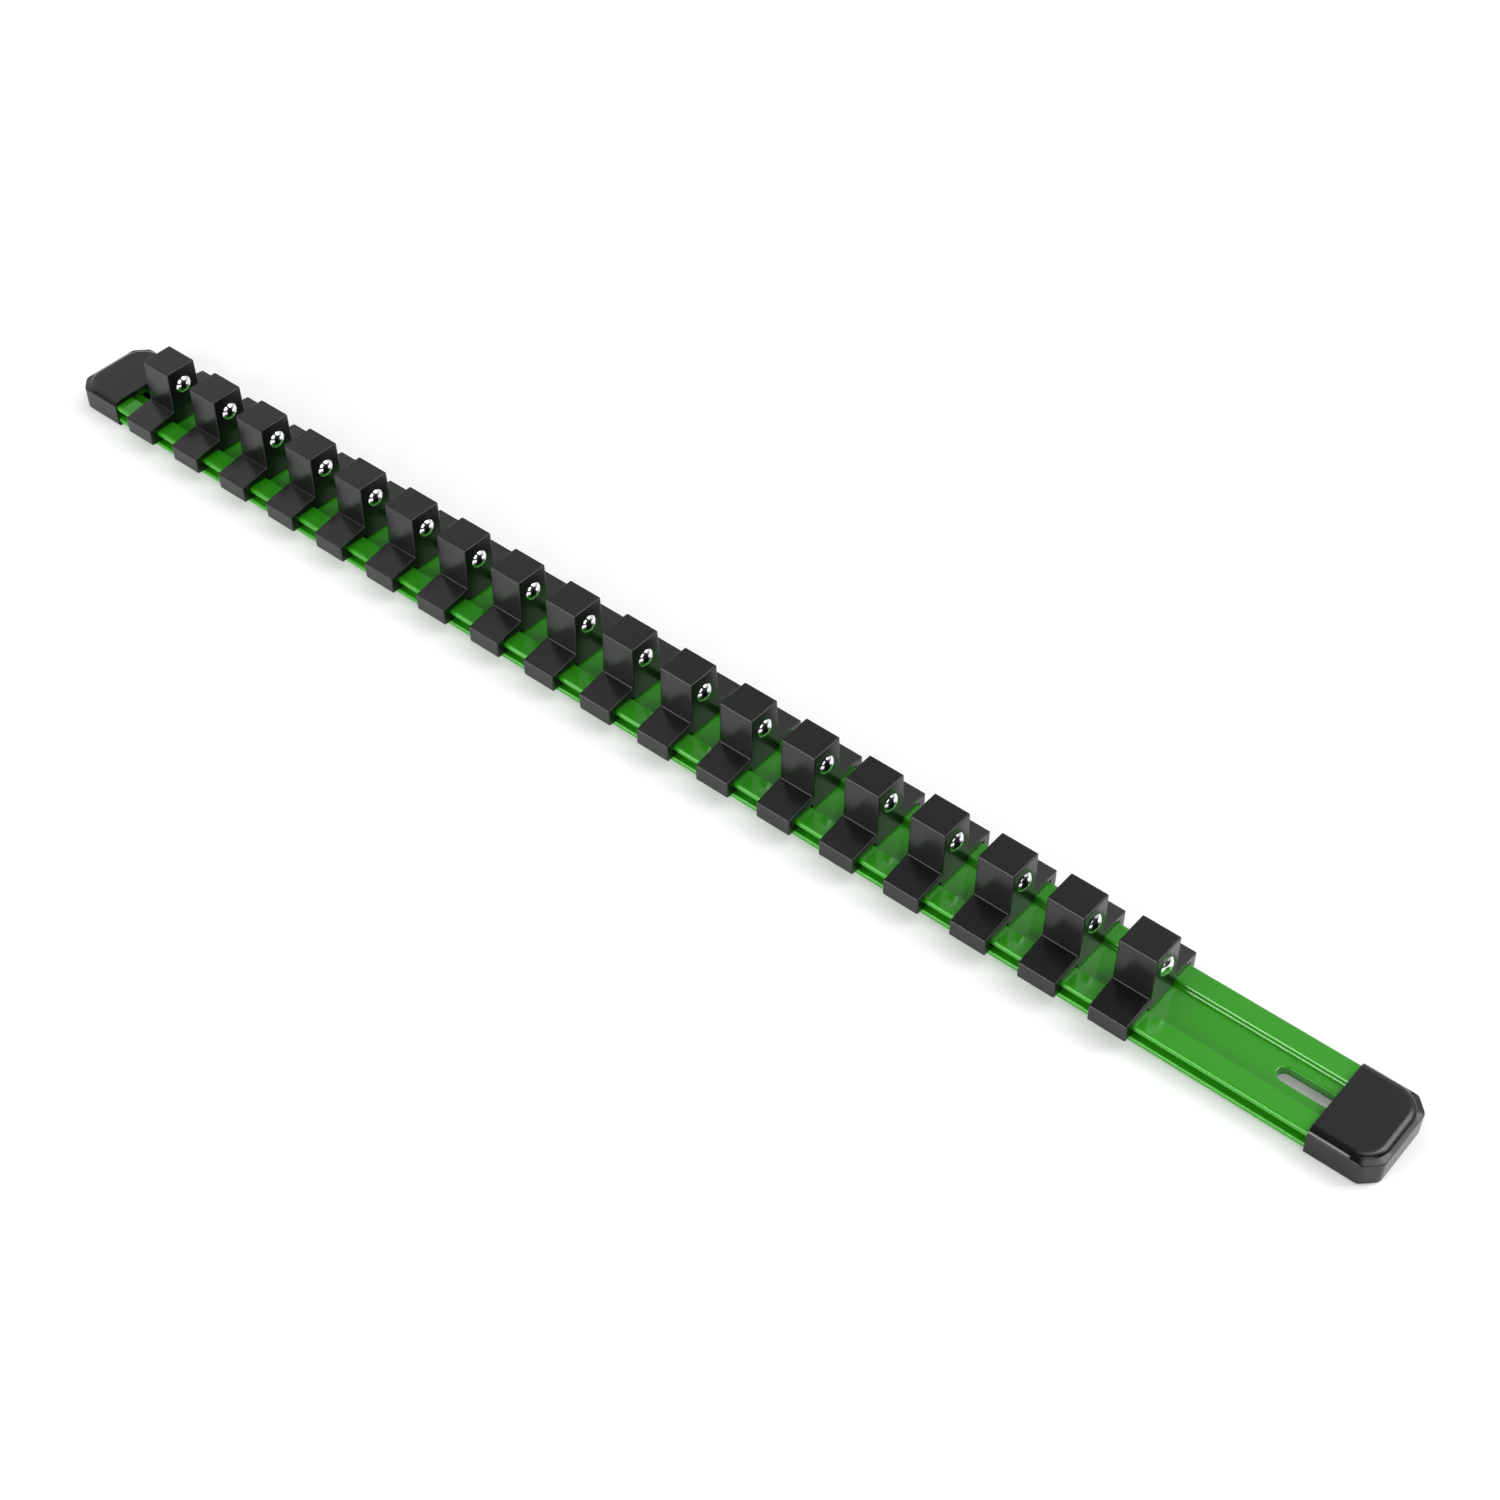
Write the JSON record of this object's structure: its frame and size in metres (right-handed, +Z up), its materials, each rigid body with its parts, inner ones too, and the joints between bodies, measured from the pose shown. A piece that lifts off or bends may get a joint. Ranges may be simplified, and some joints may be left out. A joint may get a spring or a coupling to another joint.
{
  "type": "socket rail",
  "caption": "Aluminium storage rail with sliding clips whose square posts hold drive sockets by a sprung ball, and a push-on plastic cap over each end.",
  "frame": {"origin": "under the middle of the whole rail, on the surface that the end caps stand on", "axes": "+X along the rail, the way the balls face; +Y across it; +Z up, the way the posts stand"},
  "size_m": [0.5176, 0.0348, 0.0272],
  "materials": {
    "rail_anodised": "glossy green anodised",
    "clip_plastic": "satin black moulded",
    "cap_plastic": "gloss black moulded",
    "ball_chrome": "polished",
    "spring_steel": "drawn wire"
  },
  "bodies": {
    "rail": {"rail": "rail_anodised"},
    "end_cap_left": {"end_cap_left": "cap_plastic"},
    "end_cap_right": {"end_cap_right": "cap_plastic"},
    "clip_01": {"clip_01": "clip_plastic", "spring_01": "spring_steel"},
    "clip_02": {"clip_02": "clip_plastic", "spring_02": "spring_steel"},
    "clip_03": {"clip_03": "clip_plastic", "spring_03": "spring_steel"},
    "clip_04": {"clip_04": "clip_plastic", "spring_04": "spring_steel"},
    "clip_05": {"clip_05": "clip_plastic", "spring_05": "spring_steel"},
    "clip_06": {"clip_06": "clip_plastic", "spring_06": "spring_steel"},
    "clip_07": {"clip_07": "clip_plastic", "spring_07": "spring_steel"},
    "clip_08": {"clip_08": "clip_plastic", "spring_08": "spring_steel"},
    "clip_09": {"clip_09": "clip_plastic", "spring_09": "spring_steel"},
    "clip_10": {"clip_10": "clip_plastic", "spring_10": "spring_steel"},
    "clip_11": {"clip_11": "clip_plastic", "spring_11": "spring_steel"},
    "clip_12": {"clip_12": "clip_plastic", "spring_12": "spring_steel"},
    "clip_13": {"clip_13": "clip_plastic", "spring_13": "spring_steel"},
    "clip_14": {"clip_14": "clip_plastic", "spring_14": "spring_steel"},
    "clip_15": {"clip_15": "clip_plastic", "spring_15": "spring_steel"},
    "clip_16": {"clip_16": "clip_plastic", "spring_16": "spring_steel"},
    "clip_17": {"clip_17": "clip_plastic", "spring_17": "spring_steel"},
    "clip_18": {"clip_18": "clip_plastic", "spring_18": "spring_steel"},
    "ball_01": {"ball_01": "ball_chrome"},
    "ball_02": {"ball_02": "ball_chrome"},
    "ball_03": {"ball_03": "ball_chrome"},
    "ball_04": {"ball_04": "ball_chrome"},
    "ball_05": {"ball_05": "ball_chrome"},
    "ball_06": {"ball_06": "ball_chrome"},
    "ball_07": {"ball_07": "ball_chrome"},
    "ball_08": {"ball_08": "ball_chrome"},
    "ball_09": {"ball_09": "ball_chrome"},
    "ball_10": {"ball_10": "ball_chrome"},
    "ball_11": {"ball_11": "ball_chrome"},
    "ball_12": {"ball_12": "ball_chrome"},
    "ball_13": {"ball_13": "ball_chrome"},
    "ball_14": {"ball_14": "ball_chrome"},
    "ball_15": {"ball_15": "ball_chrome"},
    "ball_16": {"ball_16": "ball_chrome"},
    "ball_17": {"ball_17": "ball_chrome"},
    "ball_18": {"ball_18": "ball_chrome"}
  },
  "joints": [
    {"name": "end_cap_left_pull", "type": "slide", "parent": "rail", "child": "end_cap_left", "axis": [-1, 0, 0], "range_m": [0, 0.024]},
    {"name": "end_cap_right_pull", "type": "slide", "parent": "rail", "child": "end_cap_right", "axis": [1, 0, 0], "range_m": [0, 0.024]},
    {"name": "clip_01_slide", "type": "slide", "parent": "rail", "child": "clip_01", "axis": [1, 0, 0], "range_m": [-0.0088, 0.0092]},
    {"name": "clip_02_slide", "type": "slide", "parent": "rail", "child": "clip_02", "axis": [1, 0, 0], "range_m": [-0.0092, 0.0092]},
    {"name": "clip_03_slide", "type": "slide", "parent": "rail", "child": "clip_03", "axis": [1, 0, 0], "range_m": [-0.0092, 0.0092]},
    {"name": "clip_04_slide", "type": "slide", "parent": "rail", "child": "clip_04", "axis": [1, 0, 0], "range_m": [-0.0092, 0.0092]},
    {"name": "clip_05_slide", "type": "slide", "parent": "rail", "child": "clip_05", "axis": [1, 0, 0], "range_m": [-0.0092, 0.0092]},
    {"name": "clip_06_slide", "type": "slide", "parent": "rail", "child": "clip_06", "axis": [1, 0, 0], "range_m": [-0.0092, 0.0092]},
    {"name": "clip_07_slide", "type": "slide", "parent": "rail", "child": "clip_07", "axis": [1, 0, 0], "range_m": [-0.0092, 0.0092]},
    {"name": "clip_08_slide", "type": "slide", "parent": "rail", "child": "clip_08", "axis": [1, 0, 0], "range_m": [-0.0092, 0.0092]},
    {"name": "clip_09_slide", "type": "slide", "parent": "rail", "child": "clip_09", "axis": [1, 0, 0], "range_m": [-0.0092, 0.0092]},
    {"name": "clip_10_slide", "type": "slide", "parent": "rail", "child": "clip_10", "axis": [1, 0, 0], "range_m": [-0.0092, 0.0092]},
    {"name": "clip_11_slide", "type": "slide", "parent": "rail", "child": "clip_11", "axis": [1, 0, 0], "range_m": [-0.0092, 0.0092]},
    {"name": "clip_12_slide", "type": "slide", "parent": "rail", "child": "clip_12", "axis": [1, 0, 0], "range_m": [-0.0092, 0.0092]},
    {"name": "clip_13_slide", "type": "slide", "parent": "rail", "child": "clip_13", "axis": [1, 0, 0], "range_m": [-0.0092, 0.0092]},
    {"name": "clip_14_slide", "type": "slide", "parent": "rail", "child": "clip_14", "axis": [1, 0, 0], "range_m": [-0.0092, 0.0092]},
    {"name": "clip_15_slide", "type": "slide", "parent": "rail", "child": "clip_15", "axis": [1, 0, 0], "range_m": [-0.0092, 0.0092]},
    {"name": "clip_16_slide", "type": "slide", "parent": "rail", "child": "clip_16", "axis": [1, 0, 0], "range_m": [-0.0092, 0.0092]},
    {"name": "clip_17_slide", "type": "slide", "parent": "rail", "child": "clip_17", "axis": [1, 0, 0], "range_m": [-0.0092, 0.0092]},
    {"name": "clip_18_slide", "type": "slide", "parent": "rail", "child": "clip_18", "axis": [1, 0, 0], "range_m": [-0.0092, 0.0543]},
    {"name": "ball_01_press", "type": "slide", "parent": "clip_01", "child": "ball_01", "axis": [1, 0, 0], "range_m": [-0.0013, 0], "stiffness_N_per_m": 1500, "deforming": ["spring_01"]},
    {"name": "ball_02_press", "type": "slide", "parent": "clip_02", "child": "ball_02", "axis": [1, 0, 0], "range_m": [-0.0013, 0], "stiffness_N_per_m": 1500, "deforming": ["spring_02"]},
    {"name": "ball_03_press", "type": "slide", "parent": "clip_03", "child": "ball_03", "axis": [1, 0, 0], "range_m": [-0.0013, 0], "stiffness_N_per_m": 1500, "deforming": ["spring_03"]},
    {"name": "ball_04_press", "type": "slide", "parent": "clip_04", "child": "ball_04", "axis": [1, 0, 0], "range_m": [-0.0013, 0], "stiffness_N_per_m": 1500, "deforming": ["spring_04"]},
    {"name": "ball_05_press", "type": "slide", "parent": "clip_05", "child": "ball_05", "axis": [1, 0, 0], "range_m": [-0.0013, 0], "stiffness_N_per_m": 1500, "deforming": ["spring_05"]},
    {"name": "ball_06_press", "type": "slide", "parent": "clip_06", "child": "ball_06", "axis": [1, 0, 0], "range_m": [-0.0013, 0], "stiffness_N_per_m": 1500, "deforming": ["spring_06"]},
    {"name": "ball_07_press", "type": "slide", "parent": "clip_07", "child": "ball_07", "axis": [1, 0, 0], "range_m": [-0.0013, 0], "stiffness_N_per_m": 1500, "deforming": ["spring_07"]},
    {"name": "ball_08_press", "type": "slide", "parent": "clip_08", "child": "ball_08", "axis": [1, 0, 0], "range_m": [-0.0013, 0], "stiffness_N_per_m": 1500, "deforming": ["spring_08"]},
    {"name": "ball_09_press", "type": "slide", "parent": "clip_09", "child": "ball_09", "axis": [1, 0, 0], "range_m": [-0.0013, 0], "stiffness_N_per_m": 1500, "deforming": ["spring_09"]},
    {"name": "ball_10_press", "type": "slide", "parent": "clip_10", "child": "ball_10", "axis": [1, 0, 0], "range_m": [-0.0013, 0], "stiffness_N_per_m": 1500, "deforming": ["spring_10"]},
    {"name": "ball_11_press", "type": "slide", "parent": "clip_11", "child": "ball_11", "axis": [1, 0, 0], "range_m": [-0.0013, 0], "stiffness_N_per_m": 1500, "deforming": ["spring_11"]},
    {"name": "ball_12_press", "type": "slide", "parent": "clip_12", "child": "ball_12", "axis": [1, 0, 0], "range_m": [-0.0013, 0], "stiffness_N_per_m": 1500, "deforming": ["spring_12"]},
    {"name": "ball_13_press", "type": "slide", "parent": "clip_13", "child": "ball_13", "axis": [1, 0, 0], "range_m": [-0.0013, 0], "stiffness_N_per_m": 1500, "deforming": ["spring_13"]},
    {"name": "ball_14_press", "type": "slide", "parent": "clip_14", "child": "ball_14", "axis": [1, 0, 0], "range_m": [-0.0013, 0], "stiffness_N_per_m": 1500, "deforming": ["spring_14"]},
    {"name": "ball_15_press", "type": "slide", "parent": "clip_15", "child": "ball_15", "axis": [1, 0, 0], "range_m": [-0.0013, 0], "stiffness_N_per_m": 1500, "deforming": ["spring_15"]},
    {"name": "ball_16_press", "type": "slide", "parent": "clip_16", "child": "ball_16", "axis": [1, 0, 0], "range_m": [-0.0013, 0], "stiffness_N_per_m": 1500, "deforming": ["spring_16"]},
    {"name": "ball_17_press", "type": "slide", "parent": "clip_17", "child": "ball_17", "axis": [1, 0, 0], "range_m": [-0.0013, 0], "stiffness_N_per_m": 1500, "deforming": ["spring_17"]},
    {"name": "ball_18_press", "type": "slide", "parent": "clip_18", "child": "ball_18", "axis": [1, 0, 0], "range_m": [-0.0013, 0], "stiffness_N_per_m": 1500, "deforming": ["spring_18"]}
  ]
}
